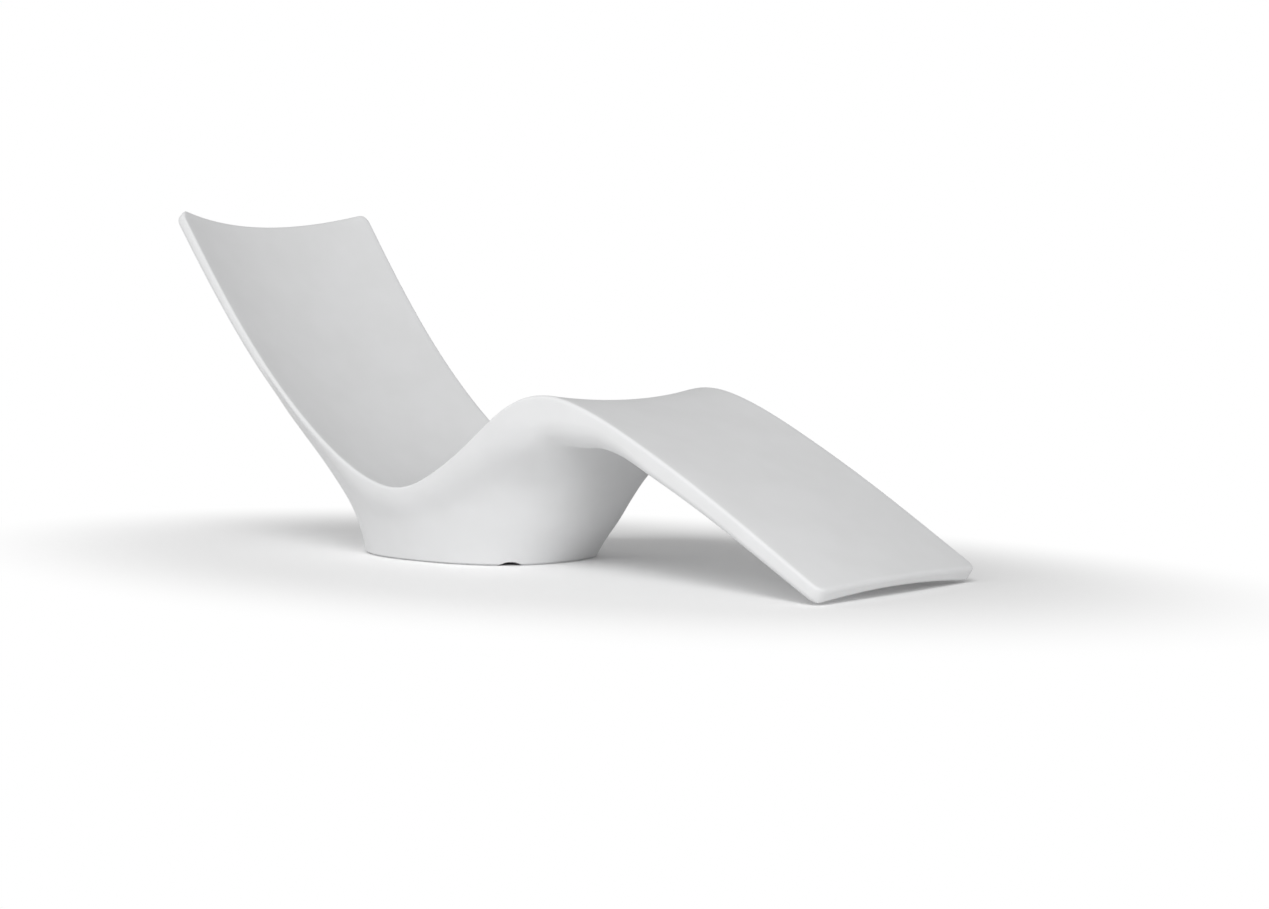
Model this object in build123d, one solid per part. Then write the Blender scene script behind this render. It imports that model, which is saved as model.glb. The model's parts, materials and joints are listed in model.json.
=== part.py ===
from build123d import *
import math
import os

os.makedirs("parts", exist_ok=True)

# An in-pool sun lounger: one rotationally moulded, hollow shell that is flooded for
# ballast, with a screw cap high on its rear face to fill it and a plug low down to drain it.
# X runs from the head (minus) to the feet (plus), Z is up from the pool floor, and the
# origin is the centre of the pedestal's flat base. All sizes are in millimetres.

# Side view of the rim, the upper edge of each side
head_x = -712
head_height = 806
seat_x = 14
seat_edge_height = 172
knee_x = 457
knee_height = 392
foot_x = 1194
foot_edge_height = 31

# Half widths across the lounger
head_half_width = 306
seat_half_width = 285
knee_half_width = 280
foot_half_width = 277

# How deep the deck is dished between its rims, or arched up where it is negative
head_dish = 58
back_dish = 51
seat_dish = 44
knee_dish = 18
ramp_dish = 6
foot_dish = -8

# Thickness of the deck at its rims and along its middle
head_rim_depth = 33
back_rim_depth = 35
hip_rim_depth = 72
thigh_rim_depth = 110
knee_rim_depth = 102
crotch_rim_depth = 80
shin_rim_depth = 63
calf_rim_depth = 52
foot_rim_depth = 35
back_core_depth = 38
knee_core_depth = 50
foot_core_depth = 28

# Rounding of the rim, of the deck's lower edge and of its four corners in plan
rim_radius = 9
head_under_radius = 15
knee_under_radius = 30
ramp_under_radius = 18
foot_under_radius = 13
corner_radius = 26

# The pedestal's outline on the floor, and the moulded wall
base_half_length = 285
base_half_width = 216
moulded_wall = 6

# Relief notches in the base's lower edge
notch_x = 229
notch_y = 143
notch_half_width = 40
notch_height = 12
notch_length = 110
notch_overrun = 40

# Filling and draining ports: a recess, a moulded-in bush, a sealing ring and a screw cap
recess_radius = 34
recess_depth = 14
bush_radius = 21
bush_bore_radius = 14.5
bush_length = 30
bush_collar_radius = 24
bush_collar_length = 6
cap_radius = 24
cap_thickness = 6
cap_grip_width = 8
cap_grip_height = 7
plug_length = 22
running_clearance = 0.08
part_clearance = 0.3
seal_radius = 20
seal_thickness = 2.4
edge_break = 1

# Shares of the way from the seat's lowest rim point to the head, along X and up Z
back_curve_shares = [(0.185, 0.052), (0.329, 0.152), (0.610, 0.436), (0.829, 0.733)]
# Shares of the way from the seat to the knee
thigh_curve_shares = [(0.255, 0.185), (0.532, 0.560), (0.801, 0.918)]
# Shares of the way from the knee to the foot
ramp_curve_shares = [(0.131, 0.052), (0.345, 0.240), (0.640, 0.561)]

# Shares of the rim's run at which the deck's form changes
head_share = 0
back_share = 0.20
hip_share = 0.31
seat_share = 0.43
thigh_share = 0.55
thigh_rim_share = 0.62
knee_share = 0.65
knee_rim_share = 0.67
crotch_rim_share = 0.695
shin_share = 0.72
calf_share = 0.76
ramp_share = 0.80
foot_share = 1

# The middle of the pedestal's profile from the backrest down, under and up to the ramp:
# share of the rim's run, share of base_half_length along X, share of seat_edge_height up Z
keel_shares = [
    (0.250, -1.530, 1.686),
    (0.288, -1.290, 1.035),
    (0.320, -1.085, 0.552),
    (0.338, -1.028, 0.291),
    (0.356, -1.000, 0.000),
    (0.380, -0.925, -0.320),
    (0.450, 0.000, -0.436),
    (0.525, 0.925, -0.320),
    (0.555, 1.000, 0.000),
    (0.575, 1.088, 0.262),
    (0.595, 1.228, 0.535),
    (0.635, 1.403, 1.047),
    (0.655, 1.530, 1.396),
    (0.680, 1.740, 1.700),
]
# Above the space under the ramp the pedestal runs on into the deck: the same two shares
crotch_shares = [(1.95, 1.80), (2.60, 1.90), (4.00, 2.10)]
# Each flank leans straight out from the floor to the rim, between these places at the rim,
# as shares of base_half_length, and goes on leaning this share of the way below the floor
rear_top_share = -1.40
front_top_share = 1.74
lowest_lean_share = -0.3
# Where the pedestal takes over from the plain deck, behind and in front
rear_merge_shares = (0.20, 0.31)
front_merge_shares = (0.655, 0.705)
# Power of the pedestal's rounded outline, which squares off with height, as a share of
# seat_edge_height, and where its section is broken into strips
rear_power_shares = [(0, 2.5), (0.8, 2.7), (1.3, 3.2), (1.9, 4.2)]
front_power_shares = [(0, 2.5), (0.35, 2.6), (0.7, 2.8), (1.05, 3.4), (1.4, 5.5), (1.8, 14)]
flank_blend_share = 0.35
flank_end_share = 0.45
turn_end_share = 0.80
round_pull_share = 0.55
fill_port_share = 0.284
drain_port_share = 0.337


def between(start, end, share):
    return start + (end - start) * share


def blend(share):
    share = min(max(share, 0), 1)
    return share * share * (3 - 2 * share)


def spread(start, end, count):
    return [between(start, end, i / count) for i in range(count)]


def eased(keys, place):
    """A smooth value through (place, value) keys that never swings past them."""
    steps = [(after[1] - key[1]) / (after[0] - key[0]) for key, after in zip(keys, keys[1:])]
    slopes = [steps[0]]
    for before, after in zip(steps, steps[1:]):
        slopes.append(0 if before * after <= 0 else 2 * before * after / (before + after))
    slopes.append(steps[-1])
    i = max(0, min(len(keys) - 2, sum(1 for key in keys if key[0] <= place) - 1))
    gap = keys[i + 1][0] - keys[i][0]
    t = min(max((place - keys[i][0]) / gap, 0), 1)
    rise = keys[i + 1][1] - keys[i][1]
    ends = gap * ((t**3 - 2 * t**2 + t) * slopes[i] + (t**3 - t**2) * slopes[i + 1])
    return keys[i][1] + rise * blend(t) + ends


def rim_points():
    seat = Vector(seat_x, seat_half_width, seat_edge_height)
    head = Vector(head_x, head_half_width, head_height)
    knee = Vector(knee_x, knee_half_width, knee_height)
    foot = Vector(foot_x, foot_half_width, foot_edge_height)

    def bend(start, end, shares):
        run = end - start
        return [start + Vector(run.X * along, run.Y * along, run.Z * up) for along, up in shares]

    back = list(reversed(bend(seat, head, back_curve_shares)))
    thigh = bend(seat, knee, thigh_curve_shares)
    ramp = bend(knee, foot, ramp_curve_shares)
    return [head, *back, seat, *thigh, knee, *ramp, foot]


rim_line = Spline(*rim_points())


def rim_at(share):
    return rim_line.position_at(share, position_mode=PositionMode.PARAMETER)


def under_direction(share):
    run = rim_line.tangent_at(share, position_mode=PositionMode.PARAMETER)
    return Vector(run.Z, 0, -run.X).normalized()


def dish_at(share):
    keys = [
        (head_share, head_dish),
        (back_share, back_dish),
        (seat_share, seat_dish),
        (thigh_share, between(seat_dish, knee_dish, 1 / 2)),
        (knee_share, knee_dish),
        (ramp_share, ramp_dish),
        (foot_share, foot_dish),
    ]
    return eased(keys, share)


def rim_depth_at(share):
    keys = [
        (head_share, head_rim_depth),
        (back_share, back_rim_depth),
        (hip_share, hip_rim_depth),
        (thigh_rim_share, thigh_rim_depth),
        (knee_rim_share, knee_rim_depth),
        (crotch_rim_share, crotch_rim_depth),
        (shin_share, shin_rim_depth),
        (calf_share, calf_rim_depth),
        (foot_share, foot_rim_depth),
    ]
    return eased(keys, share)


def under_radius_at(share):
    keys = [
        (head_share, head_under_radius),
        (thigh_rim_share, knee_under_radius),
        (shin_share, knee_under_radius),
        (ramp_share, ramp_under_radius),
        (foot_share, foot_under_radius),
    ]
    return eased(keys, share)


def core_depth_at(share):
    keys = [
        (head_share, back_core_depth),
        (back_share, back_core_depth),
        (shin_share, knee_core_depth),
        (foot_share, foot_core_depth),
    ]
    return eased(keys, share)


def deck_keel(share):
    return rim_at(share) + under_direction(share) * (dish_at(share) + core_depth_at(share))


def keel_path():
    """The middle of the underside, as (share, X) and (share, Z) keys from head to foot."""
    path = [(share, deck_keel(share)) for share in spread(head_share, back_share, 4)]
    path.append((back_share, deck_keel(back_share)))
    path += [
        (share, Vector(along * base_half_length, 0, up * seat_edge_height))
        for share, along, up in keel_shares
    ]
    path += [(share, deck_keel(share)) for share in spread(shin_share, foot_share, 5)]
    path.append((foot_share, deck_keel(foot_share)))
    return [(s, point.X) for s, point in path], [(s, point.Z) for s, point in path]


keel_x_keys, keel_z_keys = keel_path()


def keel_at(share):
    return Vector(eased(keel_x_keys, share), 0, eased(keel_z_keys, share))


def reach_keys(shares, side):
    """How far the pedestal reaches along X at each height, on one side of the origin."""
    keys = sorted((keel_at(share).Z, side * keel_at(share).X) for share in shares)
    return [key for key, after in zip(keys, keys[1:]) if after[0] > key[0]] + [keys[-1]]


keel_middle_share = keel_shares[6][0]
rear_reach_keys = reach_keys(spread(keel_middle_share, rear_merge_shares[0], 40), -1)
front_reach_keys = reach_keys(spread(keel_middle_share, keel_shares[-1][0], 40), 1)
front_reach_keys += [
    (up * seat_edge_height, along * base_half_length) for along, up in crotch_shares
]
rim_height_keys = [(point.X, point.Z) for point in rim_points()]


def pedestal_half_width(x, z, inset):
    reach = eased(rear_reach_keys if x < 0 else front_reach_keys, z) - inset
    power = eased(rear_power_shares if x < 0 else front_power_shares, z / seat_edge_height)
    along = min(abs(x / reach), 1)
    top_x = along * (rear_top_share if x < 0 else front_top_share) * base_half_length
    rise = min(max(z / eased(rim_height_keys, top_x), lowest_lean_share), 1)
    half = between(base_half_width, seat_half_width, rise) - inset
    return half * (1 - along**power) ** (1 / power)


def mirrored(points):
    return [(-across, down) for across, down in reversed(points)]


def hermite(start, run_out, end, run_in):
    third = (end[1] - start[1]) / 3
    out = (start[0] + run_out * third, start[1] + third)
    into = (end[0] - run_in * third, end[1] - third)
    return [start, out, into, end]


def deck_lower(half, edge, share, depth, inset):
    """Flank, lower corner and underside of the plain deck, across and down."""
    low = rim_depth_at(share) - inset
    radius = under_radius_at(share)
    corner = max(radius - inset, radius / 3)
    turn = (half - corner, low)
    fall = 2 * (depth - low) / turn[0]
    pull = corner * (1 - round_pull_share)
    side = (half, low - corner)
    flank = hermite((half, edge), 0, side, 0)
    round_off = [side, (half, low - pull), (turn[0] + pull, low - fall * pull), turn]
    third = turn[0] / 3
    under = [turn, (third, low + fall * third * 2), (-third, low + fall * third * 2), (-turn[0], low)]
    return flank, round_off, under


def pedestal_lower(rim, half, edge, reach, depth, inset):
    """The same three strips where the deck runs down into the pedestal."""

    def across(down):
        spot = rim + reach * down
        wide = pedestal_half_width(spot.X, spot.Z, inset)
        return between(half, wide, blend(down / (depth * flank_blend_share)))

    def lean(down):
        step = depth / 400
        return (across(down + step) - across(down - step)) / (2 * step)

    first = between(edge, depth, flank_end_share)
    second = between(edge, depth, turn_end_share)
    flank = hermite((half, edge), 0, (across(first), first), lean(first))
    turn = hermite((across(first), first), lean(first), (across(second), second), lean(second))
    pull = (depth - second) / (3 / 4)
    low = (across(second) + lean(second) * pull, second + pull)
    end = (across(second), second)
    return flank, turn, [end, low, mirrored([low])[0], mirrored([end])[0]]


def section(share, inset, trim, rounded):
    """Rows of control points round one closed outline across the lounger, in the plane
    that holds both rims and the middle of the underside."""
    rim = rim_at(share)
    run = keel_at(share) - Vector(rim.X, 0, rim.Z)
    reach = run.normalized()
    depth = run.length - inset
    half = rim.Y - inset - trim
    edge = max(rim_radius - inset, rim_radius / 3) if rounded else 0
    top = inset + edge
    crest = (half - edge, inset)
    dish = dish_at(share)
    rim_curve = [crest, (half, inset - 2 * dish * edge / half), (half, top)]
    merge = blend((share - rear_merge_shares[0]) / (rear_merge_shares[1] - rear_merge_shares[0]))
    part = (share - front_merge_shares[0]) / (front_merge_shares[1] - front_merge_shares[0])
    merge = merge * (1 - blend(part))
    strips = deck_lower(half, top, share, depth, inset)
    if merge > 0:
        middle = Vector(rim.X, 0, rim.Z)
        full = pedestal_lower(middle, half, top, reach, depth, inset)
        strips = [
            [tuple(between(a, b, merge) for a, b in zip(*pair)) for pair in zip(plain, form)]
            for plain, form in zip(strips, full)
        ]
    flank, turn, under = strips
    outline = [flank, turn, under, mirrored(turn), mirrored(flank)]
    if rounded:
        outline = [rim_curve, *outline, mirrored(rim_curve)]
    outline.append([mirrored([crest])[0], (0, inset + 2 * dish), crest])
    across = Vector(0, 1, 0)
    plane = Plane(origin=(rim.X, 0, rim.Z), x_dir=across, z_dir=across.cross(reach))
    return [[plane.from_local_coords(Vector(*point, 0)) for point in row] for row in outline]


def skin(stations, rounded):
    """A closed body of strips stretched between the sections at the stations, each a share
    of the rim's run, an inset and a trim of the half width, with or without a round rim."""
    sections = [section(*station, rounded) for station in stations]
    faces = [Face(Wire([Bezier(*row) for row in rows])) for rows in (sections[0], sections[-1])]
    for rows, next_rows in zip(sections, sections[1:]):
        for row, next_row in zip(rows, next_rows):
            faces.append(Face.make_bezier_surface([[a, b] for a, b in zip(row, next_row)]))
    return Solid(Shell(faces))


def end_stations(from_end_shares):
    """Stations near one end, where the outline is rounded in plan and along its edge."""
    stations = []
    for off_share in from_end_shares:
        off = off_share * corner_radius
        trim = corner_radius - math.sqrt(corner_radius**2 - (corner_radius - off) ** 2)
        near = max(rim_radius - off, 0)
        inset = rim_radius - math.sqrt(rim_radius**2 - near**2)
        stations.append((off / rim_line.length, inset, max(trim - inset, 0)))
    return stations


def middle_shares(start):
    shares = spread(start, back_share, 3) + spread(back_share, keel_middle_share, 10)
    shares += spread(keel_middle_share, knee_share, 8) + spread(knee_share, shin_share, 4)
    return shares + spread(shin_share, foot_share - start, 4)


def outer_body():
    ends = end_stations([0, 0.12, 0.4, 1])
    stations = ends[:-1] + [(share, 0, 0) for share in middle_shares(ends[-1][0])]
    stations += [(foot_share - share, inset, trim) for share, inset, trim in reversed(ends)]
    return split(skin(stations, True), Plane.XY, keep=Keep.TOP)


def inner_void():
    """The space inside the moulded wall, flat above the base's floor."""
    start, _, trim = end_stations([2 * moulded_wall / corner_radius])[0]
    shares = middle_shares(start)
    stations = [(start, moulded_wall, trim)]
    stations += [(share, moulded_wall, 0) for share in shares[1:]]
    stations.append((foot_share - start, moulded_wall, trim))
    return split(skin(stations, False), Plane.XY.offset(moulded_wall), keep=Keep.TOP)


def notch(side_x, side_y, grow):
    """A short tunnel under the base's edge; grown, it is the form that covers it inside."""
    half = notch_half_width + grow
    high = notch_height + grow
    corners = [(-half, 0), (-half / 2, high), (half / 2, high), (half, 0)]
    profile = Face(Wire(Polyline(*corners, close=True)))
    inward = Vector(-side_x * notch_x, -side_y * notch_y, 0).normalized()
    mouth = Vector(side_x * notch_x, side_y * notch_y, 0) - inward * notch_overrun
    plane = Plane(origin=mouth, x_dir=Vector(0, 0, 1).cross(inward), z_dir=inward)
    return plane * extrude(profile, notch_overrun + notch_length + grow, dir=(0, 0, 1))


def disc(radius, low, high):
    """A round, from one height to another along the port's axis."""
    return Pos(0, 0, low) * Cylinder(
        radius, high - low, align=(Align.CENTER, Align.CENTER, Align.MIN)
    )


def port_plane(share):
    """A port's place on the middle of the rear face, with Z out of the wall."""
    step = (foot_share - head_share) / 400
    run = keel_at(share + step) - keel_at(share - step)
    out = Vector(run.Z, 0, -run.X).normalized()
    return Plane(origin=keel_at(share), x_dir=(0, 1, 0), z_dir=out)


def bush_form():
    """The bush's outside, a plain barrel with a collar that keys it into the boss."""
    mouth = -recess_depth
    middle = mouth - bush_length / 2
    barrel = disc(bush_radius, mouth - bush_length, mouth)
    half = bush_collar_length / 2
    return barrel + disc(bush_collar_radius, middle - half, middle + half)


def port_boss():
    """The solid form that stands into the void round a port's recess and bush."""
    floor = -recess_depth - moulded_wall
    end = -recess_depth - bush_length - moulded_wall
    seat = disc(recess_radius + moulded_wall, floor, recess_depth)
    return seat + disc(bush_collar_radius + moulded_wall, end, floor)


def port_cut():
    """What a port takes out of the wall: the recess, the bush's seat and the bore."""
    end = -recess_depth - bush_length - 2 * moulded_wall
    recess = disc(recess_radius, -recess_depth, recess_depth)
    return recess + bush_form() + disc(bush_bore_radius, end, -recess_depth)


def port_bush():
    bore = disc(bush_bore_radius, -recess_depth - 2 * bush_length, 0)
    return bush_form() - bore


def port_seal():
    low = -recess_depth + part_clearance
    high = low + seal_thickness
    hole = disc(bush_bore_radius + part_clearance, low, high)
    return disc(seal_radius, low, high) - hole


def port_cap():
    """A round cap with a plug that fills the bush's bore and a bar to turn it by."""
    under = -recess_depth + 2 * part_clearance + seal_thickness
    top = under + cap_thickness
    head = disc(cap_radius, under, top)
    rims = head.edges().filter_by(GeomType.CIRCLE)
    head = chamfer(rims, edge_break)
    plug = disc(bush_bore_radius - running_clearance, under - plug_length, under)
    plug = chamfer(plug.edges().filter_by(GeomType.CIRCLE).sort_by(Axis.Z)[0], edge_break)
    bar_length = 2 * (cap_radius - 2 * edge_break)
    bar = Pos(0, 0, top + cap_grip_height / 2) * Box(bar_length, cap_grip_width, cap_grip_height)
    bar = fillet(bar.edges().filter_by(Axis.Z), cap_grip_width / 3)
    return head + plug + bar


def lounger_shell(planes):
    """The one-piece moulding: outer form, void, bosses, ports and relief notches."""
    corners = [(x, y) for x in (-1, 1) for y in (-1, 1)]
    void = inner_void()
    for plane in planes:
        void -= plane * port_boss()
    for side_x, side_y in corners:
        void -= notch(side_x, side_y, moulded_wall)
    shell = outer_body() - void
    for plane in planes:
        shell -= plane * port_cut()
    for side_x, side_y in corners:
        shell -= notch(side_x, side_y, 0)
    return shell


ports = {"fill": port_plane(fill_port_share), "drain": port_plane(drain_port_share)}
export_step(lounger_shell(ports.values()), "parts/lounger_shell.step")
for name, plane in ports.items():
    export_step(plane * port_bush(), f"parts/{name}_bush.step")
    export_step(plane * port_seal(), f"parts/{name}_seal.step")
    export_step(plane * port_cap(), f"parts/{name}_cap.step")
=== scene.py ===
import json
import math

import bmesh
import bpy
import numpy as np
from mathutils import Matrix, Vector


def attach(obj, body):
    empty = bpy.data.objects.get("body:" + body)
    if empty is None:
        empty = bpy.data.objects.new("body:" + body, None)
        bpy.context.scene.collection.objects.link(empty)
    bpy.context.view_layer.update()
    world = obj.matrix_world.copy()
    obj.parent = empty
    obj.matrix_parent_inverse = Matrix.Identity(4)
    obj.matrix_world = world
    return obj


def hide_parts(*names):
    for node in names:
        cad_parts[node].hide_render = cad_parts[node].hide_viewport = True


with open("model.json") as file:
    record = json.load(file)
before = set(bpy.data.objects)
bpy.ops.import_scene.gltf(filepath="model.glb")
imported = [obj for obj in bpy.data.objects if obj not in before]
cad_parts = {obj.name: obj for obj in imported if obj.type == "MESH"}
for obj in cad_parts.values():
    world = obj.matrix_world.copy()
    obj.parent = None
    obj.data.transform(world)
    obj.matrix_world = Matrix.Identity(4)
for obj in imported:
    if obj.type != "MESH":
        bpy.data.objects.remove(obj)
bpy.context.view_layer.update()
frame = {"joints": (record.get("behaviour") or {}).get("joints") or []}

# The lounger's shell: one hollow polyethylene moulding with a satin white skin. Its dished
# deck rises over the knees from an oval pedestal. The outline is drawn as sections across
# the deck, each held by both rims and by the middle of the underside.
head, seat = (-0.712, 0.306, 0.806), (0.014, 0.285, 0.172)
knee, foot = (0.457, 0.280, 0.392), (1.194, 0.277, 0.031)
base_half_length = 0.285
# Where the rim bends: shares of the way from the seat or the knee, along X and up Z
back_curve_shares = [(0.829, 0.733), (0.610, 0.436), (0.329, 0.152), (0.185, 0.052)]
thigh_curve_shares = [(0.255, 0.185), (0.532, 0.560), (0.801, 0.918)]
ramp_curve_shares = [(0.131, 0.052), (0.345, 0.240), (0.640, 0.561)]
# Depths and roundings by the share of the rim's run, from the head to the foot
dish_depths = [
    (0, 0.058), (0.20, 0.051), (0.43, 0.044), (0.55, 0.031), (0.65, 0.018), (0.80, 0.006), (1, -0.008),
]
rim_depths = [
    (0, 0.033), (0.20, 0.035), (0.31, 0.072), (0.62, 0.112), (0.66, 0.128), (0.69, 0.104),
    (0.72, 0.070), (0.76, 0.053), (1, 0.035),
]
corner_radii = [
    (0, 0.015), (0.60, 0.045), (0.66, 0.070), (0.70, 0.058), (0.74, 0.034), (0.80, 0.018), (1, 0.013),
]
core_depths = [(0, 0.038), (0.20, 0.038), (0.72, 0.050), (1, 0.028)]
# The pedestal's outline along the middle, from behind, under it and up in front: share of the
# rim's run, share of the base's half length along X and share of the seat rim's height up Z
keel_shares = [
    (0.250, -1.5302, 1.686), (0.288, -1.2902, 1.035), (0.320, -1.085, 0.552), (0.338, -1.028, 0.291),
    (0.356, -1.000, 0), (0.380, -0.925, -0.320), (0.450, 0, -0.436), (0.525, 0.8702, -0.320),
    (0.555, 0.9755, 0), (0.575, 1.1053, 0.262), (0.595, 1.2632, 0.535), (0.635, 1.4667, 1.047),
    (0.655, 1.5579, 1.396), (0.680, 1.740, 1.700),
]
# Its front above that, up to the deck: shares of the same height and half length
crotch_shares = [(1.80, 1.9502), (1.90, 2.60), (2.10, 4.00)]
# The pedestal squares off with height: share of the seat rim's height, power of its outline
rear_power_shares = [(0, 2.5), (0.8, 2.7), (1.3, 3.2), (1.9, 4.2)]
front_power_shares = [(0, 2.5), (0.35, 2.4), (0.7, 2.35), (1.05, 2.6), (1.4, 4.5), (1.8, 14)]
# The rims that the walls lean out to: shares of the base's half length, and the least lean
rear_top_share, front_top_share, lowest_lean_share = -1.40, 1.74, -0.3
base_half_width = 0.216
# Where along the rim's run the pedestal grows out of the back and passes into the ramp
rear_merge, front_merge = (0.20, 0.31), (0.63, 0.70)
# The pedestal's lowest section and its last in front, then the free ones of back and ramp
lowest_share, front_share = 0.45, 0.68
back_shares, ramp_shares = (0, 0.05, 0.10, 0.15, 0.20), (0.72, 0.776, 0.832, 0.888, 0.944, 1)
# How far down the pedestal's section the deck's side blends into its wall
blend_shares = [(0, 0.35), (0.55, 0.35), (0.60, 0.55), (0.65, 0.80), (1, 0.80)]
# Where the flank and the turn below it end, down the section, and the pull of a round corner
flank_share, turn_share, round_share = 0.45, 0.80, 0.45
rim_radius, corner_radius, least_corner = 0.009, 0.026, 0.005
foot_step, foot_inset = 0.0035, 0.005
station_count, reach_count, wall_steps = 128, 41, 400
top_steps, rim_steps, flank_steps, turn_steps, under_steps = 12, 4, 8, 6, 6
# How far in the sections of each rounded end lie, as shares of its radius
end_shares = (0, 0.06, 0.16, 0.3, 0.5, 0.75, 1)
decimals, tiny, weld_distance = 4, 1e-6, 5e-6
smooth_angle = math.radians(35)


def scaled(shares, sizes):
    """Shares of named sizes in metres, to a tenth of a millimetre."""
    return tuple(round(share * size, decimals) for share, size in zip(shares, sizes))


def bent(start, end, bends):
    """The places where the rim bends between two of its points."""
    run = [b - a for a, b in zip(start, end)]
    moves = [(along * run[0], along * run[1], up * run[2]) for along, up in bends]
    return [tuple(round(a + move, decimals) for a, move in zip(start, row)) for row in moves]


rim_places = [head, *bent(seat, head, back_curve_shares)]
rim_places += [seat, *bent(seat, knee, thigh_curve_shares)]
rim_places += [knee, *bent(knee, foot, ramp_curve_shares), foot]
keel_places = [(share, *scaled(row, (base_half_length, seat[2]))) for share, *row in keel_shares]
crotch_places = [scaled(row, (seat[2], base_half_length)) for row in crotch_shares]
rear_powers = [(round(share * seat[2], decimals), power) for share, power in rear_power_shares]
front_powers = [(round(share * seat[2], decimals), power) for share, power in front_power_shares]


def eased(keys, place):
    """A smooth value through (place, value) keys that never swings past them."""
    steps = [(after[1] - key[1]) / (after[0] - key[0]) for key, after in zip(keys, keys[1:])]
    slopes = [steps[0]]
    for before, after in zip(steps, steps[1:]):
        slopes.append(0 if before * after <= 0 else 2 * before * after / (before + after))
    slopes.append(steps[-1])
    i = max(0, min(len(keys) - 2, sum(1 for key in keys if key[0] <= place) - 1))
    gap = keys[i + 1][0] - keys[i][0]
    t = min(max((place - keys[i][0]) / gap, 0), 1)
    ends = gap * ((t**3 - 2 * t**2 + t) * slopes[i] + (t**3 - t**2) * slopes[i + 1])
    return keys[i][1] + (keys[i + 1][1] - keys[i][1]) * (3 * t**2 - 2 * t**3) + ends


def rim_spline(places):
    """Knots and slopes of a smooth line through the rim's places, by the length between them."""
    points = np.array(places)
    knots = np.concatenate([[0], np.cumsum(np.linalg.norm(np.diff(points, axis=0), axis=1))])
    gaps = np.diff(knots)
    runs = np.diff(points, axis=0) / gaps[:, None]
    matrix = np.eye(len(points))
    slopes = np.zeros_like(points)
    for end, part in ((0, slice(0, 4)), (-1, slice(-4, None))):
        for axis in range(3):
            bend = np.polyfit(knots[part] - knots[end], points[part, axis], 3)
            slopes[end, axis] = bend[2]
    for i in range(1, len(points) - 1):
        matrix[i, i - 1:i + 2] = gaps[i], 2 * (gaps[i - 1] + gaps[i]), gaps[i - 1]
        slopes[i] = 3 * (gaps[i] * runs[i - 1] + gaps[i - 1] * runs[i])
    return points, knots, np.linalg.solve(matrix, slopes)


rim_points, rim_knots, rim_slopes = rim_spline(rim_places)


def rim_at(share):
    """The rim's point on the +Y side, and its direction, at a share of its run."""
    place = share * rim_knots[-1]
    i = min(max(int(np.searchsorted(rim_knots, place, side="right")) - 1, 0), len(rim_knots) - 2)
    gap = rim_knots[i + 1] - rim_knots[i]
    t = (place - rim_knots[i]) / gap
    a, b, m, n = rim_points[i], rim_points[i + 1], rim_slopes[i] * gap, rim_slopes[i + 1] * gap
    point = a * (2 * t**3 - 3 * t**2 + 1) + b * (3 * t**2 - 2 * t**3)
    point = point + m * (t**3 - 2 * t**2 + t) + n * (t**3 - t**2)
    run = (b - a) * 6 * (t - t**2) + m * (3 * t**2 - 4 * t + 1) + n * (3 * t**2 - 2 * t)
    return point, run / np.linalg.norm(run)


def smooth_step(share):
    """A share of 0 to 1, eased at both ends."""
    share = min(max(share, 0), 1)
    return share * share * (3 - 2 * share)


def deck_keel(share):
    """The middle of the underside where the deck hangs free of the pedestal."""
    point, run = rim_at(share)
    down = np.array([run[2], 0, -run[0]]) / math.hypot(run[0], run[2])
    keel = point + down * (eased(dish_depths, share) + eased(core_depths, share))
    return share, keel[0], keel[2]


keel_path = [deck_keel(share) for share in back_shares] + keel_places
keel_path += [deck_keel(share) for share in ramp_shares]
keel_x_keys = [(share, x) for share, x, z in keel_path]
keel_z_keys = [(share, z) for share, x, z in keel_path]


def reach_keys(shares, side):
    """How far the pedestal reaches along X at each height, on one side of the middle."""
    keys = sorted((eased(keel_z_keys, s), side * eased(keel_x_keys, s)) for s in shares)
    return [key for key, after in zip(keys, keys[1:]) if after[0] > key[0] + tiny] + [keys[-1]]


rear_reach = reach_keys(np.linspace(lowest_share, rear_merge[0], reach_count), -1)
front_reach = reach_keys(np.linspace(lowest_share, front_share, reach_count), 1) + crotch_places
rim_heights = [(x, z) for x, y, z in rim_places]


def pedestal_half_width(x, z, inset):
    """Straight walls that lean out from the base's round outline to a squarer one at the rims."""
    reach = eased(rear_reach if x < 0 else front_reach, z) - inset
    along = min(abs(x / reach), 1)
    power = eased(rear_powers if x < 0 else front_powers, z)
    top_x = along * base_half_length * (rear_top_share if x < 0 else front_top_share)
    rise = min(max(z / eased(rim_heights, top_x), lowest_lean_share), 1)
    half = base_half_width + (seat[1] - base_half_width) * rise - inset
    return half * (1 - along**power) ** (1 / power)


def bezier(points, steps):
    """Points along a curve given by three or four control points, without its first."""
    row = []
    for i in range(1, steps + 1):
        t = i / steps
        level = [np.array(p, float) for p in points]
        while len(level) > 1:
            level = [a * (1 - t) + b * t for a, b in zip(level, level[1:])]
        row.append(level[0])
    return row


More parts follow.
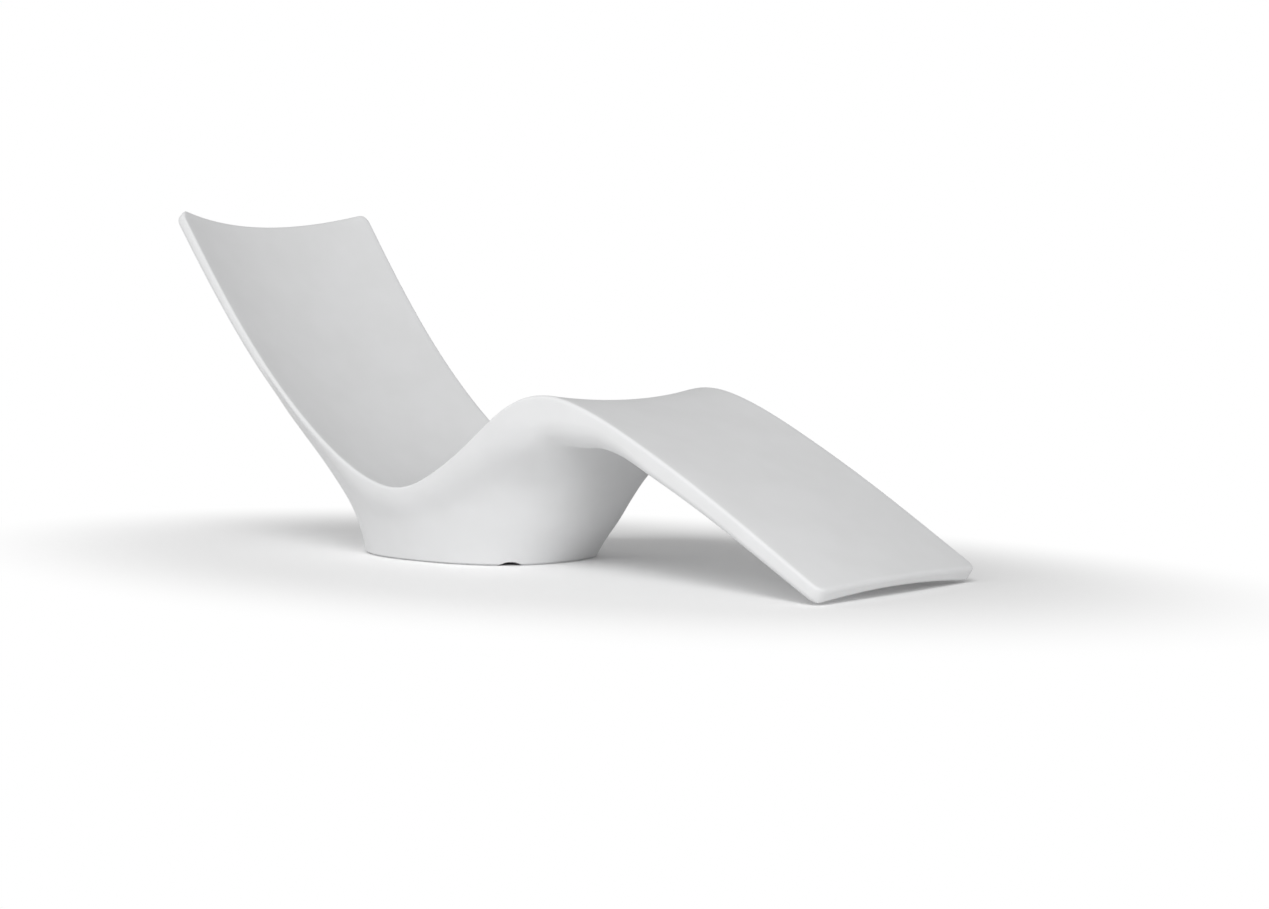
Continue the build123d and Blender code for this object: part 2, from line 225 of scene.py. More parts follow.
def section(share, inset, trim):
    """One closed outline across the lounger as points, from the top's middle round by +Y."""
    rim, run = rim_at(share)
    keel = np.array([eased(keel_x_keys, share), 0, eased(keel_z_keys, share)])
    down = keel - np.array([rim[0], 0, rim[2]])
    depth = np.linalg.norm(down)
    down = down / depth
    depth -= inset
    half = rim[1] - inset - trim
    edge = max(rim_radius - inset, rim_radius / 3)
    top = inset + edge
    dish = eased(dish_depths, share)
    crest = (half - edge, inset)
    outline = [np.array((0, inset + dish))]
    for i in range(1, top_steps + 1):
        across = crest[0] * i / top_steps
        outline.append(np.array((across, inset + dish * (1 - (across / crest[0]) ** 2))))
    outline += bezier([crest, (half, inset - 2 * dish * edge / half), (half, top)], rim_steps)

    low = eased(rim_depths, share) - inset
    corner = max(eased(corner_radii, share) - inset, least_corner)
    fall = 2 * (depth - low) / (half - corner)
    pull = corner * round_share
    third = (low - corner - top) / 3
    side = [(half, top), (half, top + third), (half, top + 2 * third), (half, low - corner)]
    plain = bezier(side, flank_steps)
    turn = [side[-1], (half, low - pull), (half - corner + pull, low - fall * pull), (half - corner, low)]
    plain += bezier(turn, turn_steps)
    third = (half - corner) / 3
    belly = low + fall * third * 2
    under = [turn[-1], (third, belly), (-third, belly), (corner - half, low)]
    plain += bezier(under, 2 * under_steps)[:under_steps]

    merge = smooth_step((share - rear_merge[0]) / (rear_merge[1] - rear_merge[0]))
    merge *= 1 - smooth_step((share - front_merge[0]) / (front_merge[1] - front_merge[0]))
    if merge > 0:
        blend_run = depth * eased(blend_shares, share)
        fine = []
        for i in range(wall_steps + 1):
            fell = top + (depth - top) * (1 - (1 - i / wall_steps) ** 3)
            spot = rim + down * fell
            wide = pedestal_half_width(spot[0], spot[2], inset)
            fine.append((half + (wide - half) * smooth_step(fell / blend_run), fell))
        fine = np.array(fine)
        fine[-1, 0] = 0
        first = top + (depth - top) * flank_share
        second = top + (depth - top) * turn_share
        full = []
        strips = ((top, first, flank_steps), (first, second, turn_steps), (second, depth, under_steps))
        for start, end, steps in strips:
            part = fine[(fine[:, 1] >= start - 1e-9) & (fine[:, 1] <= end + 1e-9)]
            if part[0, 1] > start:
                part = np.vstack([[np.interp(start, fine[:, 1], fine[:, 0]), start], part])
            if part[-1, 1] < end:
                part = np.vstack([part, [np.interp(end, fine[:, 1], fine[:, 0]), end]])
            length = np.concatenate([[0], np.cumsum(np.linalg.norm(np.diff(part, axis=0), axis=1))])
            for i in range(1, steps + 1):
                at = length[-1] * i / steps
                full.append(np.array([np.interp(at, length, part[:, k]) for k in range(2)]))
        plain = [a * (1 - merge) + b * merge for a, b in zip(plain, full)]
    outline += plain
    middle = np.array([rim[0], 0, rim[2]])
    side = [middle + down * p[1] + np.array([0, p[0], 0]) for p in outline]
    return side + [p * np.array([1, -1, 1]) for p in reversed(side[1:-1])]


def stations():
    """Each section's share of the run, its inset and its trim, close together at both ends."""
    ends = []
    for off_share in end_shares:
        off = off_share * corner_radius
        trim = corner_radius - math.sqrt(corner_radius**2 - (corner_radius - off) ** 2)
        near = max(rim_radius - off, 0)
        inset = rim_radius - math.sqrt(rim_radius**2 - near**2)
        ends.append((off / rim_knots[-1], inset, max(trim - inset, 0)))
    start = ends[-1][0]
    middle = [(start + (1 - 2 * start) * i / station_count, 0, 0) for i in range(1, station_count)]
    return ends + middle + [(1 - share, inset, trim) for share, inset, trim in reversed(ends)]


def select_only(piece):
    """Deselects all else, so that an operator acts on this piece alone."""
    bpy.ops.object.select_all(action="DESELECT")
    piece.select_set(True)
    bpy.context.view_layer.objects.active = piece


def select_where(mesh, kind, test):
    """Selects the vertices, edges or faces whose middle passes a test, in edit mode."""
    for face in mesh.faces:
        face.select_set(False)
    for edge in mesh.edges:
        edge.select_set(False)
    for vert in mesh.verts:
        vert.select_set(False)
    for item in getattr(mesh, kind):
        if test(item):
            item.select_set(True)


def apply_all(piece):
    """Turns every modifier of a piece into its mesh."""
    select_only(piece)
    for modifier in list(piece.modifiers):
        bpy.ops.object.modifier_apply(modifier=modifier.name)


def carve(piece, cutter, operation="DIFFERENCE"):
    """Cuts one mesh out of another, or joins it on, and removes the cutter."""
    modifier = piece.modifiers.new("carve", "BOOLEAN")
    modifier.operation = operation
    modifier.solver = "EXACT"
    modifier.object = cutter
    apply_all(piece)
    bpy.data.objects.remove(cutter)
    bpy.ops.object.mode_set(mode="EDIT")
    bpy.ops.mesh.select_all(action="SELECT")
    bpy.ops.mesh.remove_doubles(threshold=weld_distance)
    bpy.ops.mesh.dissolve_degenerate(threshold=weld_distance)
    bpy.ops.object.mode_set(mode="OBJECT")


def close_end(mesh, loop):
    """Fills an end with rows of faces between the deck's top and its underside."""
    ring = len(loop)
    top = loop[ring - top_steps:] + loop[:top_steps + 1]
    bottom = loop[ring // 2 - top_steps:ring // 2 + top_steps + 1][::-1]
    right = loop[top_steps:ring // 2 - top_steps + 1]
    left = loop[ring // 2 + top_steps:ring - top_steps + 1][::-1]
    columns, rows = len(top) - 1, len(right) - 1
    grid = [top]
    for j in range(1, rows):
        v = j / rows
        row = [left[j]]
        for i in range(1, columns):
            u = i / columns
            place = top[i].co * (1 - v) + bottom[i].co * v + left[j].co * (1 - u) + right[j].co * u
            place -= (top[0].co * (1 - u) + top[-1].co * u) * (1 - v)
            place -= (bottom[0].co * (1 - u) + bottom[-1].co * u) * v
            row.append(mesh.verts.new(place))
        grid.append(row + [right[j]])
    grid.append(bottom)
    for upper, lower in zip(grid, grid[1:]):
        for i in range(columns):
            mesh.faces.new((upper[i], upper[i + 1], lower[i + 1], lower[i]))


def loft(name, outlines):
    """Draws the first outline as a circle and extrudes it through the others, closed at both ends."""
    bpy.ops.object.select_all(action="DESELECT")
    bpy.ops.mesh.primitive_circle_add(vertices=len(outlines[0]), radius=1)
    piece = bpy.context.object
    piece.name = name
    bpy.ops.object.mode_set(mode="EDIT")
    bpy.ops.mesh.select_all(action="SELECT")
    for number, outline in enumerate(outlines):
        if number:
            bpy.ops.mesh.extrude_edges_move()
        mesh = bmesh.from_edit_mesh(piece.data)
        mesh.verts.ensure_lookup_table()
        for vert, place in zip(mesh.verts[-len(outline):], outline):
            vert.co = place
    ring = len(outlines[0])
    for first in (0, len(mesh.verts) - ring):
        mesh.verts.ensure_lookup_table()
        close_end(mesh, [mesh.verts[first + i] for i in range(ring)])
    bmesh.update_edit_mesh(piece.data)
    bpy.ops.mesh.select_all(action="SELECT")
    bpy.ops.mesh.normals_make_consistent(inside=False)
    bpy.ops.object.mode_set(mode="OBJECT")
    return piece


shell = loft("shell_moulding", [section(*station) for station in stations()])
subdivision = shell.modifiers.new("even skin", "SUBSURF")
subdivision.levels = subdivision.render_levels = 1
apply_all(shell)
bpy.ops.object.mode_set(mode="EDIT")
bpy.ops.mesh.select_all(action="SELECT")
bpy.ops.mesh.bisect(plane_co=(0, 0, foot_step), plane_no=(0, 0, 1), use_fill=True, clear_inner=True)
mesh = bmesh.from_edit_mesh(shell.data)
select_where(mesh, "faces", lambda face: max(v.co.z for v in face.verts) < foot_step + tiny)
bpy.ops.mesh.inset(thickness=foot_inset, use_even_offset=True)
bpy.ops.mesh.extrude_region_move(TRANSFORM_OT_translate={"value": (0, 0, -foot_step)})
bpy.ops.object.mode_set(mode="OBJECT")

# Four relief notches in the base's lower edge let water run in and out under the lounger.
# They are part of the moulding: low, soft arches that run inward from the edge.
notch_places = [(x, y) for x in (-0.229, 0.229) for y in (-0.143, 0.143)]
notch_half_width, notch_height, notch_below = 0.036, 0.011, 0.002
notch_outside, notch_inside, notch_far_end = 0.040, 0.075, (1, 0.5, 0.1)
notch_points, notch_roundness = 24, 1.6


def copied(pattern, name):
    """A copy of a finished piece, with a mesh of its own."""
    piece = pattern.copy()
    piece.data = pattern.data.copy()
    piece.name = name
    bpy.context.scene.collection.objects.link(piece)
    return piece


bpy.ops.object.select_all(action="DESELECT")
bpy.ops.mesh.primitive_circle_add(vertices=notch_points, radius=1)
notch = bpy.context.object
notch.name = "notch"
bpy.ops.object.mode_set(mode="EDIT")
mesh = bmesh.from_edit_mesh(notch.data)
for i, vert in enumerate(mesh.verts):
    on_arch = i < notch_points - 1
    across = -1 + 2 * i / (notch_points - 2) if on_arch else 0
    rise = 0.5 + 0.5 * math.cos(math.pi * abs(across) ** notch_roundness) if on_arch else 0
    below = 0 if 0 < i < notch_points - 2 else notch_below
    vert.co = (-notch_outside, across * notch_half_width, rise * notch_height - below)
bpy.ops.mesh.select_all(action="SELECT")
bpy.ops.mesh.edge_face_add()
bpy.ops.mesh.extrude_region_move(TRANSFORM_OT_translate={"value": (notch_outside + notch_inside, 0, 0)})
bpy.ops.transform.resize(value=notch_far_end, center_override=(0, 0, 0))
bpy.ops.mesh.select_all(action="SELECT")
bpy.ops.mesh.normals_make_consistent(inside=False)
bpy.ops.object.mode_set(mode="OBJECT")
for x, y in notch_places:
    cutter = copied(notch, "notch_cutter")
    cutter.matrix_world = Matrix.Translation((x, y, 0)) @ Matrix.Rotation(math.atan2(-y, -x), 4, "Z")
    carve(shell, cutter)
bpy.data.objects.remove(notch)

# Each port sits in a round recess of the rear face, one high up to fill the shell with
# water and one low down to drain it. The recess and the bush's seat are moulded in.
ports = {}
for joint in frame["joints"]:
    if joint["type"] == "hinge":
        out = Vector(joint["axis"]).normalized()
        side = Vector((0, 1, 0))
        turn = Matrix((side.cross(out), side, out)).transposed()
        ports[joint["name"].split("_")[0]] = Matrix.Translation(joint["pos_m"]) @ turn.to_4x4()
recess_radius, recess_depth, recess_lip, recess_corner = 0.034, 0.014, 0.005, 0.003
bush_radius, bush_length = 0.021, 0.030
bore_radius, bore_run_out, cutter_rise = 0.0145, 0.006, 0.010


def arc(middle, radius, start, end, steps=6):
    """Points of a round stretch in a profile of radius and height, its angles in degrees."""
    angles = [math.radians(start + (end - start) * i / steps) for i in range(steps + 1)]
    return [(middle[0] + radius * math.cos(a), middle[1] + radius * math.sin(a)) for a in angles]


def turned(name, profile, steps=96):
    """Spins a profile of radius and height round the Z axis into one closed mesh."""
    bpy.ops.object.select_all(action="DESELECT")
    bpy.ops.mesh.primitive_circle_add(vertices=len(profile), radius=1)
    piece = bpy.context.object
    piece.name = name
    bpy.ops.object.mode_set(mode="EDIT")
    mesh = bmesh.from_edit_mesh(piece.data)
    mesh.verts.ensure_lookup_table()
    for vert, place in zip(mesh.verts, profile):
        vert.co = (place[0], 0, place[1])
    on_axis = [edge for edge in mesh.edges if all(v.co.x < 1e-9 for v in edge.verts)]
    for edge in on_axis:
        mesh.edges.remove(edge)
    bmesh.update_edit_mesh(piece.data)
    bpy.ops.mesh.select_all(action="SELECT")
    bpy.ops.mesh.spin(steps=steps, angle=2 * math.pi, center=(0, 0, 0), axis=(0, 0, 1))
    bpy.ops.mesh.select_all(action="SELECT")
    bpy.ops.mesh.remove_doubles(threshold=tiny)
    bpy.ops.mesh.normals_make_consistent(inside=False)
    bpy.ops.object.mode_set(mode="OBJECT")
    return piece


def put_at(piece, place):
    """Moves a piece's mesh from the origin to its place, so that the object stays at the origin."""
    select_only(piece)
    piece.matrix_world = place
    bpy.ops.object.transform_apply(location=True, rotation=True, scale=True)


bush_high, bush_low = -recess_depth, -recess_depth - bush_length
recess_edge = recess_radius + recess_lip
profile = [(0, bush_low - bore_run_out), (bore_radius, bush_low - bore_run_out), (bore_radius, bush_low)]
profile += [(bush_radius, bush_low), (bush_radius, bush_high)]
profile += arc((recess_radius - recess_corner, bush_high + recess_corner), recess_corner, -90, 0, 4)
profile += arc((recess_edge, -recess_lip), recess_lip, 180, 90)
recess = turned("recess", profile + [(recess_edge, cutter_rise), (0, cutter_rise)])
for place in ports.values():
    cutter = copied(recess, "recess_cutter")
    put_at(cutter, place)
    carve(shell, cutter)
bpy.data.objects.remove(recess)

select_only(shell)
bpy.ops.object.shade_smooth_by_angle(angle=smooth_angle)


def moulded_skin_group():
    """The faint unevenness of moulded plastic: a soft mottle, a fine grain and their normal."""
    group = bpy.data.node_groups.new("moulded_skin", "ShaderNodeTree")
    for label, kind in (("Mottle", "Float"), ("Polish", "Float"), ("Normal", "Vector")):
        group.interface.new_socket(label, in_out="OUTPUT", socket_type=f"NodeSocket{kind}")
    nodes, links = group.nodes, group.links
    out = nodes.new("NodeGroupOutput")
    place = nodes.new("ShaderNodeTexCoord")
    mottle = nodes.new("ShaderNodeTexNoise")
    mottle.inputs["Scale"].default_value = 9
    mottle.inputs["Detail"].default_value = 2
    mottle.inputs["Roughness"].default_value = 0.55
    grain = nodes.new("ShaderNodeTexNoise")
    grain.inputs["Scale"].default_value = 420
    grain.inputs["Detail"].default_value = 1
    wear = nodes.new("ShaderNodeTexNoise")
    wear.inputs["Scale"].default_value = 42
    wear.inputs["Detail"].default_value = 6
    wear.inputs["Distortion"].default_value = 0.4
    for node in (mottle, grain, wear):
        links.new(place.outputs["Object"], node.inputs["Vector"])
    polish = nodes.new("ShaderNodeMapRange")
    polish.inputs["From Min"].default_value = 0.3
    polish.inputs["From Max"].default_value = 0.7
    polish.inputs["To Min"].default_value = 0.40
    polish.inputs["To Max"].default_value = 0.52
    links.new(wear.outputs["Fac"], polish.inputs["Value"])
    broad = nodes.new("ShaderNodeBump")
    broad.inputs["Strength"].default_value = 0.25
    broad.inputs["Distance"].default_value = 0.0012
    links.new(mottle.outputs["Fac"], broad.inputs["Height"])
    fine = nodes.new("ShaderNodeBump")
    fine.inputs["Strength"].default_value = 0.03
    fine.inputs["Distance"].default_value = 0.0001
    links.new(grain.outputs["Fac"], fine.inputs["Height"])
    links.new(broad.outputs["Normal"], fine.inputs["Normal"])
    links.new(mottle.outputs["Fac"], out.inputs["Mottle"])
    links.new(polish.outputs["Result"], out.inputs["Polish"])
    links.new(fine.outputs["Normal"], out.inputs["Normal"])
    return group


moulded_skin = moulded_skin_group()


def moulded_plastic(name, clean, clouded):
    """A satin moulded plastic whose colour drifts a little between two near tones."""
    material = bpy.data.materials.new(name)
    material.use_nodes = True
    nodes, links = material.node_tree.nodes, material.node_tree.links
    shader = nodes["Principled BSDF"]
    shader.inputs["IOR"].default_value = 1.5
    skin = nodes.new("ShaderNodeGroup")
    skin.node_tree = moulded_skin
    tone = nodes.new("ShaderNodeValToRGB")
    tone.color_ramp.elements[0].position = 0.35
    tone.color_ramp.elements[0].color = (*clouded, 1)
    tone.color_ramp.elements[1].position = 0.65
    tone.color_ramp.elements[1].color = (*clean, 1)
    links.new(skin.outputs["Mottle"], tone.inputs["Fac"])
    links.new(tone.outputs["Color"], shader.inputs["Base Color"])
    links.new(skin.outputs["Polish"], shader.inputs["Roughness"])
    links.new(skin.outputs["Normal"], shader.inputs["Normal"])
    return material


shell_white = moulded_plastic("shell_white", (0.862, 0.866, 0.872), (0.842, 0.846, 0.850))
shell.data.materials.append(shell_white)
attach(shell, "shell")
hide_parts("lounger_shell")

# The threads of the ports: a coarse round-crested screw, right-handed, with a pitch of 4 mm.
# The bush's thread is the plug's, grown by the gap that lets the cap turn by hand.
thread_pitch, thread_crest, thread_root = 0.004, 0.0143, 0.0131
thread_flat_share, thread_gap, thread_steps, thread_overrun = 0.16, 0.0002, 48, 0.001
lead_in_clearance, thread_smooth_angle = 0.0002, math.radians(30)


def threaded_rod(name, low, high, gap, lead_in):
    """A solid rod with the thread on it, between two heights on the Z axis."""
    pitch, crest, root = thread_pitch, thread_crest + gap, thread_root + gap
    turns = math.ceil((high - low) / pitch) + 2
    start = math.floor(low / pitch) * pitch - pitch
    flat = pitch * thread_flat_share
    grow = gap * 0.5
    steps = [(root, 0), (root, flat - grow), (crest, pitch / 2 - flat - grow)]
    steps += [(crest, pitch / 2 + flat + grow), (root, pitch - flat + grow), (root, pitch)]
    bpy.ops.object.select_all(action="DESELECT")
    bpy.ops.mesh.primitive_circle_add(vertices=len(steps), radius=1)
    rod = bpy.context.object
    rod.name = name
    bpy.ops.object.mode_set(mode="EDIT")
    mesh = bmesh.from_edit_mesh(rod.data)
    mesh.verts.ensure_lookup_table()
    for vert, (radius, up) in zip(mesh.verts, steps):
        vert.co = (radius, 0, start + up)
    closing = [edge for edge in mesh.edges if {mesh.verts[0], mesh.verts[-1]} == set(edge.verts)]
    for edge in closing:
        mesh.edges.remove(edge)
    bmesh.update_edit_mesh(rod.data)
    bpy.ops.object.mode_set(mode="OBJECT")
    screw = rod.modifiers.new("thread", "SCREW")
    screw.angle = 2 * math.pi
    screw.screw_offset = pitch
    screw.iterations = turns
    screw.steps = screw.render_steps = thread_steps
    screw.use_merge_vertices = True
    screw.merge_threshold = tiny
    apply_all(rod)
    bpy.ops.object.mode_set(mode="EDIT")
    bpy.ops.mesh.select_all(action="SELECT")
    bpy.ops.mesh.remove_doubles(threshold=tiny)
    bpy.ops.mesh.bisect(plane_co=(0, 0, low), plane_no=(0, 0, 1), use_fill=True, clear_inner=True)
    bpy.ops.mesh.select_all(action="SELECT")
    bpy.ops.mesh.bisect(plane_co=(0, 0, high), plane_no=(0, 0, 1), use_fill=True, clear_outer=True)
    bpy.ops.mesh.select_all(action="SELECT")
    bpy.ops.mesh.normals_make_consistent(inside=False)
    bpy.ops.object.mode_set(mode="OBJECT")
    if lead_in:
        wide, below, above = crest + lead_in_clearance, low - thread_overrun, high + thread_overrun
        profile = [(0, below), (root - lead_in, below), (root - lead_in, low)]
        profile += [(wide, low + lead_in + crest - root), (wide, above), (0, above)]
        carve(rod, turned("lead_in", profile), "INTERSECT")
    return rod


# The bushes: grey plastic barrels with a collar that keys each one into the wall, put into
# the mould so that the shell forms round them. Their bore carries the cap's thread.
bush_collar_radius, bush_collar_half = 0.024, 0.003
bush_edge, bush_overrun = 0.0006, 0.002
mouth_inner, mouth_outer, mouth_depth, mouth_rise = 0.0133, 0.0153, 0.0015, 0.0005
edge_angle = math.radians(40)


def round_edges(piece, width, segments):
    """Rounds every sharp edge of a piece and smooths what is left."""
    bevel = piece.modifiers.new("edge break", "BEVEL")
    bevel.width = width
    bevel.segments = segments
    bevel.limit_method = "ANGLE"
    bevel.angle_limit = edge_angle
    apply_all(piece)
    bpy.ops.object.shade_smooth_by_angle(angle=smooth_angle)


bush_grey = moulded_plastic("bush_grey", (0.30, 0.305, 0.315), (0.26, 0.265, 0.275))
collar_low = (bush_low + bush_high) / 2 - bush_collar_half
collar_high = (bush_low + bush_high) / 2 + bush_collar_half
profile = [(0, bush_low), (bush_radius, bush_low), (bush_radius, collar_low)]
profile += [(bush_collar_radius, collar_low), (bush_collar_radius, collar_high)]
profile += [(bush_radius, collar_high), (bush_radius, bush_high), (0, bush_high)]
barrel = turned("bush_barrel", profile)
round_edges(barrel, bush_edge, 2)
thread_ends = bush_low - bush_overrun, bush_high + bush_overrun
carve(barrel, threaded_rod("bush_thread", *thread_ends, thread_gap, 0))
mouth_low, mouth_high = bush_high - mouth_depth, bush_high + mouth_rise
profile = [(0, mouth_low), (mouth_inner, mouth_low), (mouth_outer, mouth_high), (0, mouth_high)]
carve(barrel, turned("bush_mouth", profile))
select_only(barrel)
bpy.ops.object.shade_smooth_by_angle(angle=thread_smooth_angle)
barrel.data.materials.append(bush_grey)
for name, place in ports.items():
    bush = copied(barrel, f"{name}_bush_barrel")
    put_at(bush, place)
    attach(bush, "shell")
    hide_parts(f"{name}_bush")
bpy.data.objects.remove(barrel)

# The seals: black rubber rings, pushed onto the plug's neck and squeezed between the cap's
# underside and the recess's floor.
seal_inner, seal_outer, seal_low, seal_thickness, seal_round = 0.0148, 0.020, -0.0137, 0.0024, 0.0009


def seal_rubber():
    """Matt black rubber with a pale bloom that gathers in patches."""
    material = bpy.data.materials.new("seal_black")
    material.use_nodes = True
    nodes, links = material.node_tree.nodes, material.node_tree.links
    shader = nodes["Principled BSDF"]
    shader.inputs["Specular IOR Level"].default_value = 0.35
    place = nodes.new("ShaderNodeTexCoord")
    bloom = nodes.new("ShaderNodeTexNoise")
    bloom.inputs["Scale"].default_value = 120
    bloom.inputs["Detail"].default_value = 4
    tone = nodes.new("ShaderNodeValToRGB")
    tone.color_ramp.elements[0].position = 0.45
    tone.color_ramp.elements[0].color = (0.016, 0.016, 0.017, 1)
    tone.color_ramp.elements[1].position = 0.75
    tone.color_ramp.elements[1].color = (0.045, 0.045, 0.048, 1)
    rough = nodes.new("ShaderNodeMapRange")
    rough.inputs["To Min"].default_value = 0.62
    rough.inputs["To Max"].default_value = 0.85
    bump = nodes.new("ShaderNodeBump")
    bump.inputs["Strength"].default_value = 0.2
    bump.inputs["Distance"].default_value = 0.0002
    links.new(place.outputs["Object"], bloom.inputs["Vector"])
    links.new(bloom.outputs["Fac"], tone.inputs["Fac"])
    links.new(tone.outputs["Color"], shader.inputs["Base Color"])
    links.new(bloom.outputs["Fac"], rough.inputs["Value"])
    links.new(rough.outputs["Result"], shader.inputs["Roughness"])
    links.new(bloom.outputs["Fac"], bump.inputs["Height"])
    links.new(bump.outputs["Normal"], shader.inputs["Normal"])
    return material


seal_black = seal_rubber()
inner, outer = seal_inner + seal_round, seal_outer - seal_round
low, high = seal_low + seal_round, seal_low + seal_thickness - seal_round
corners = ((inner, low, 180), (outer, low, 270), (outer, high, 0), (inner, high, 90))
profile = []
for radius, height, start in corners:
    profile += arc((radius, height), seal_round, start, start + 90, 4)
ring = turned("seal_ring", profile)
ring.data.shade_smooth()
ring.data.materials.append(seal_black)
for name, place in ports.items():
    seal = copied(ring, f"{name}_seal_ring")
    put_at(seal, place)
    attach(seal, f"{name}_ring")
    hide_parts(f"{name}_seal")
bpy.data.objects.remove(ring)

# The caps: white plastic screw caps, each one moulding of a fluted round head, a bar to grip
# and a threaded plug that fills the bush's bore.
cap_radius, cap_under, cap_thickness, cap_edge = 0.024, -0.0110, 0.006, 0.0012
cap_land, cap_dip_start, cap_dip, cap_dip_middle = 0.004, 0.0052, 0.0006, 0.012
cap_flutes, flute_depth, flute_reach = 28, 0.0007, 0.0006
cap_steps = 8 * cap_flutes
grip_length, grip_width, grip_height, grip_edge = 0.044, 0.008, 0.007, 0.0016
grip_sink, grip_root = 0.0015, 0.003
plug_length, neck_length, plug_overlap, plug_lead_in = 0.022, 0.003, 0.001, 0.0015
cap_white = moulded_plastic("cap_white", (0.80, 0.805, 0.815), (0.77, 0.775, 0.785))
top, corner = cap_under + cap_thickness, cap_radius - cap_edge
profile = [(0, cap_under), (corner, cap_under)]
profile += arc((corner, cap_under + cap_edge), cap_edge, -90, 0, 4)
profile += arc((corner, top - cap_edge), cap_edge, 0, 90, 4)
profile += [(cap_radius - cap_land, top), (cap_radius - cap_dip_start, top - cap_dip)]
profile += [(cap_dip_middle, top - cap_dip), (0, top - cap_dip)]
screw_head = turned("cap_head", profile, cap_steps)
bpy.ops.object.mode_set(mode="EDIT")
mesh = bmesh.from_edit_mesh(screw_head.data)
for vert in mesh.verts:
    reach = math.hypot(vert.co.x, vert.co.y)
    if reach > cap_radius - flute_reach:
        flute = 0.5 + 0.5 * math.cos(cap_flutes * math.atan2(vert.co.y, vert.co.x))
        vert.co.xy *= 1 - flute_depth * flute**2 / reach
bmesh.update_edit_mesh(screw_head.data)
bpy.ops.object.mode_set(mode="OBJECT")
bpy.ops.mesh.primitive_cube_add(size=1, location=(0, 0, top + grip_height / 2 - grip_sink))
grip = bpy.context.object
grip.scale = (grip_length, grip_width, grip_height + grip_root)
bpy.ops.object.transform_apply(location=True, rotation=True, scale=True)
round_edges(grip, grip_edge, 4)
carve(screw_head, grip, "UNION")
neck_low, neck_high = cap_under - neck_length, cap_under + plug_overlap
profile = [(0, neck_low), (thread_root, neck_low), (thread_root, neck_high), (0, neck_high)]
carve(screw_head, turned("plug_neck", profile), "UNION")
thread_ends = cap_under - plug_length, neck_low + plug_overlap
carve(screw_head, threaded_rod("plug_thread", *thread_ends, 0, plug_lead_in), "UNION")
select_only(screw_head)
bpy.ops.object.shade_smooth_by_angle(angle=thread_smooth_angle)
screw_head.data.materials.append(cap_white)
for name, place in ports.items():
    cap = copied(screw_head, f"{name}_cap_head")
    put_at(cap, place)
    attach(cap, f"{name}_screw")
    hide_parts(f"{name}_cap")
bpy.data.objects.remove(screw_head)

# The studio: a pale floor that keeps the lounger's shadow and fades to white, plain soft
# light from large lamps on the camera's side, and the camera at the photograph's angle.
# The floor is a little brighter for the camera than for the light that it gives back, and its
# fade is an ellipse: its middle along X, its half sizes, and where the fade starts and ends
floor_size, floor_drop, floor_grey, floor_seen = 60, 0.0005, 0.92, 1.02
fade_middle, fade_half_length, fade_half_width, fade_shares = 0.30, 1.25, 0.75, (0.75, 1.5)
bpy.ops.object.select_all(action="DESELECT")
bpy.ops.mesh.primitive_plane_add(size=floor_size, location=(0, 0, -floor_drop))
floor = bpy.context.object
floor.name = "studio_floor"
floor_finish = bpy.data.materials.new("studio_floor")
floor_finish.use_nodes = True
nodes = floor_finish.node_tree.nodes
links = floor_finish.node_tree.links
nodes.remove(nodes["Principled BSDF"])
rays = nodes.new("ShaderNodeLightPath")
shade = nodes.new("ShaderNodeMapRange")
shade.inputs["To Min"].default_value = floor_grey
shade.inputs["To Max"].default_value = floor_seen
links.new(rays.outputs["Is Camera Ray"], shade.inputs["Value"])
matt = nodes.new("ShaderNodeBsdfDiffuse")
links.new(shade.outputs["Result"], matt.inputs["Color"])
white = nodes.new("ShaderNodeEmission")
white.inputs["Color"].default_value = (1, 1, 1, 1)
spot = nodes.new("ShaderNodeTexCoord")
ellipse = nodes.new("ShaderNodeMapping")
ellipse.inputs["Location"].default_value = (-fade_middle / fade_half_length, 0, 0)
ellipse.inputs["Scale"].default_value = (1 / fade_half_length, 1 / fade_half_width, 1)
far = nodes.new("ShaderNodeVectorMath")
far.operation = "LENGTH"
fade = nodes.new("ShaderNodeMapRange")
fade.interpolation_type = "SMOOTHSTEP"
fade.inputs["From Min"].default_value, fade.inputs["From Max"].default_value = fade_shares
seen = nodes.new("ShaderNodeMath")
seen.operation = "MULTIPLY"
blend = nodes.new("ShaderNodeMixShader")
links.new(spot.outputs["Object"], ellipse.inputs["Vector"])
links.new(ellipse.outputs["Vector"], far.inputs[0])
links.new(far.outputs["Value"], fade.inputs["Value"])
links.new(fade.outputs["Result"], seen.inputs[0])
links.new(rays.outputs["Is Camera Ray"], seen.inputs[1])
links.new(seen.outputs["Value"], blend.inputs["Fac"])
links.new(matt.outputs["BSDF"], blend.inputs[1])
links.new(white.outputs["Emission"], blend.inputs[2])
links.new(blend.outputs["Shader"], nodes["Material Output"].inputs["Surface"])
floor.data.materials.append(floor_finish)

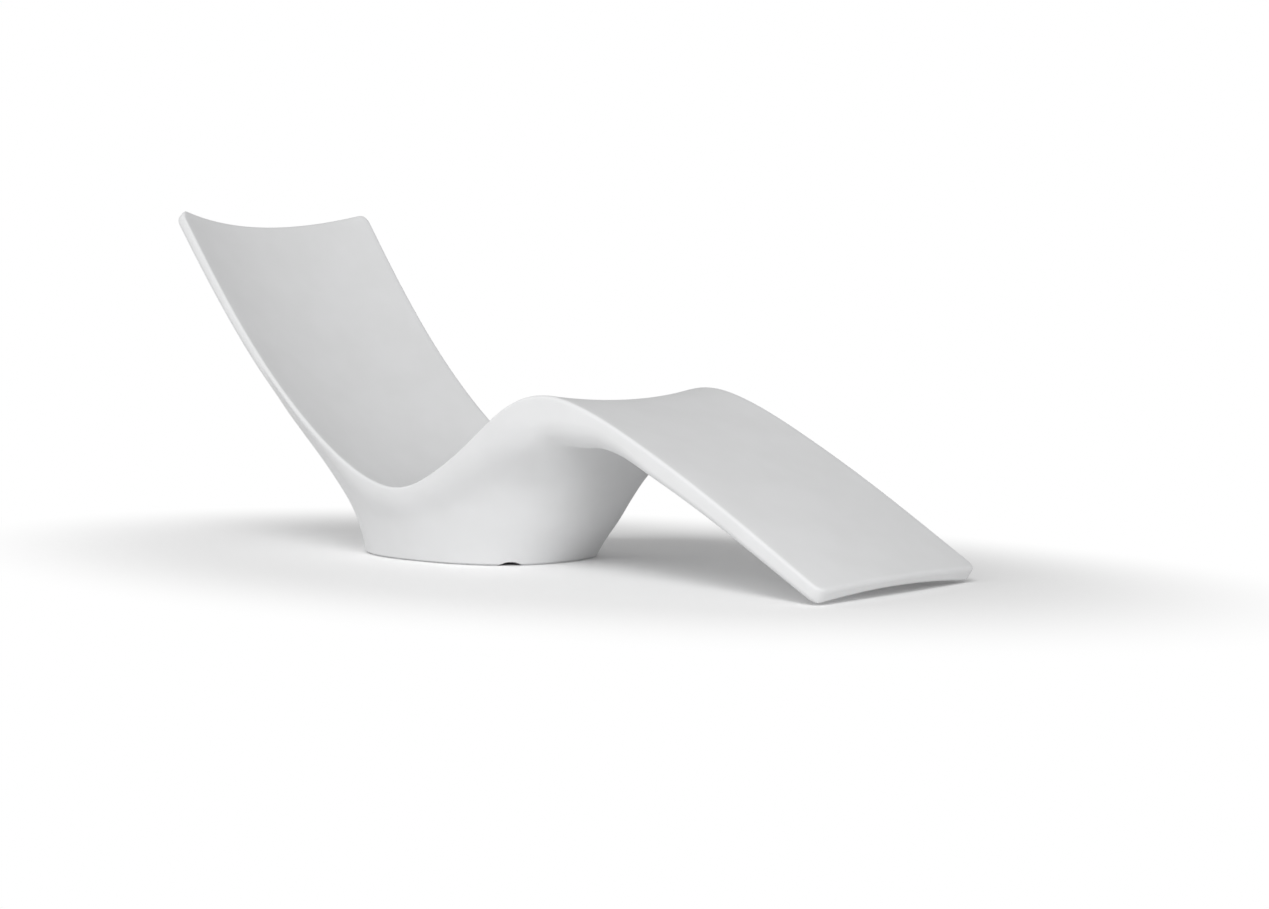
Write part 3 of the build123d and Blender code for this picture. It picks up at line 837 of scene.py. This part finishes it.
# Plain white light from all round. The camera sees it as white, whatever its strength.
world_strength = 0.34
world = bpy.data.worlds.new("studio")
bpy.context.scene.world = world
world.use_nodes = True
sky = world.node_tree
background = sky.nodes["Background"]
background.inputs["Color"].default_value = (1, 1, 1, 1)
background.inputs["Strength"].default_value = world_strength
plain = sky.nodes.new("ShaderNodeBackground")
plain.inputs["Color"].default_value = (1, 1, 1, 1)
plain.inputs["Strength"].default_value = 1
rays = sky.nodes.new("ShaderNodeLightPath")
choice = sky.nodes.new("ShaderNodeMixShader")
sky.links.new(rays.outputs["Is Camera Ray"], choice.inputs["Fac"])
sky.links.new(background.outputs["Background"], choice.inputs[1])
sky.links.new(plain.outputs["Background"], choice.inputs[2])
sky.links.new(choice.outputs["Shader"], sky.nodes["World Output"].inputs["Surface"])

lamp_target = Vector((0.15, 0, 0.25))
softboxes = {
    "camera_side_softbox": ((3.0, -3.6, 4.0), (2.6, 2.0), 120),
    "right_softbox": ((4.6, -2.6, 1.8), (2.0, 1.6), 40),
    "left_softbox": ((-4.5, -2.6, 2.6), (2.6, 2.0), 45),
    "near_softbox": ((-0.4, -4.2, 3.0), (2.6, 2.0), 20),
    "rear_softbox": ((-4.6, 1.5, 3.0), (2.6, 2.0), 12),
}
for name, (place, size, power) in softboxes.items():
    light = bpy.data.lights.new(name, "AREA")
    light.shape = "RECTANGLE"
    light.size, light.size_y = size
    light.energy = power
    lamp = bpy.data.objects.new(name, light)
    bpy.context.scene.collection.objects.link(lamp)
    lamp.location = place
    lamp.rotation_euler = (lamp_target - Vector(place)).to_track_quat("-Z", "Y").to_euler()

camera_place, camera_pitch, camera_yaw = (4.156086, -4.236989, 0.632292), 0.0675944582, 0.7155849933
camera_data = bpy.data.cameras.new("photo_camera")
camera = bpy.data.objects.new("photo_camera", camera_data)
bpy.context.scene.collection.objects.link(camera)
camera.location = camera_place
camera.rotation_euler = (math.pi / 2 - camera_pitch, 0, camera_yaw)
camera_data.sensor_fit = "HORIZONTAL"
camera_data.sensor_width = 36
camera_data.lens = 72.299
bpy.context.scene.camera = camera

bpy.context.scene.view_settings.view_transform = "Standard"
